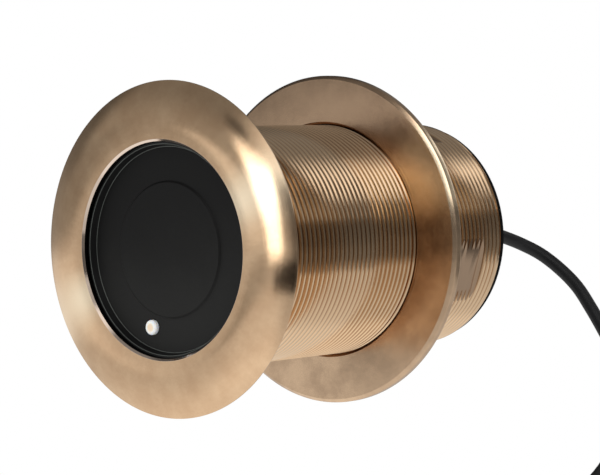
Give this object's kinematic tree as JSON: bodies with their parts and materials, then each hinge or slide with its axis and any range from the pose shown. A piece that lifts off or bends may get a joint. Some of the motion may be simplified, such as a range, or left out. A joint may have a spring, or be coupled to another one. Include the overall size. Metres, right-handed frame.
{
  "type": "sonar transducer",
  "caption": "Thru-hull sonar transducer with a threaded bronze stem, domed flange, hull nut, recessed black face with a temperature probe, and a coiled cable with its plug.",
  "frame": {"origin": "centre of the face ring on the stem's axis, in the plane on which the part stands", "axes": "+Z along the stem from the face to the cable's exit; +Y towards the stored cable coil; +X to the side on which the plug lies"},
  "size_m": [0.1424, 0.2853, 0.2297],
  "materials": {
    "bronze": "satin cast and turned bronze",
    "moulded_black": "matte moulded",
    "probe_brass": "polished",
    "rubber_black": "matte",
    "cable_jacket": "semi-matte extruded jacket",
    "plug_plastic": "matte moulded",
    "seal_red": "smooth",
    "ceramic": "fired, fine matte",
    "damping": "cast resin",
    "cork": "granular, matte",
    "board_green": "satin solder mask",
    "component_dark": "matte",
    "copper": "enamelled wire",
    "tinned": "tinned",
    "lead_wire": "extruded"
  },
  "bodies": {
    "transducer": {"housing": "bronze", "window_cup": "moulded_black", "acoustic_window": "moulded_black", "temperature_probe": "probe_brass", "thermistor": "component_dark", "probe_lead": "lead_wire", "tilt_wedge": "damping", "ceramic_element": "ceramic", "isolation_ring": "cork", "backing_disc": "damping", "foam_pad": "cork", "element_leads": "lead_wire", "circuit_board": "board_green", "board_screws": "tinned", "transformer": "copper", "tuning_capacitor": "component_dark", "identity_chip": "component_dark", "terminal_block": "board_green", "conductors": "tinned", "shield_can": "tinned", "potting": "component_dark", "rear_cap": "moulded_black", "cable_inner": "cable_jacket", "cable_gland": "moulded_black", "gland_seal": "rubber_black", "gland_nut": "moulded_black", "strain_relief": "rubber_black", "cable": "cable_jacket", "cable_coil": "cable_jacket", "cable_tie": "plug_plastic", "cable_tail": "cable_jacket", "plug_boot": "rubber_black", "plug_body": "plug_plastic", "coupling_ring": "plug_plastic", "plug_insert": "plug_plastic", "plug_pins": "probe_brass", "plug_seal": "seal_red"},
    "nut": {"hull_nut": "bronze"}
  },
  "joints": [
    {"name": "nut_travel", "type": "slide", "parent": "transducer", "child": "nut", "axis": [0, 0, 1], "range_m": [-0.083, 0.044]}
  ]
}
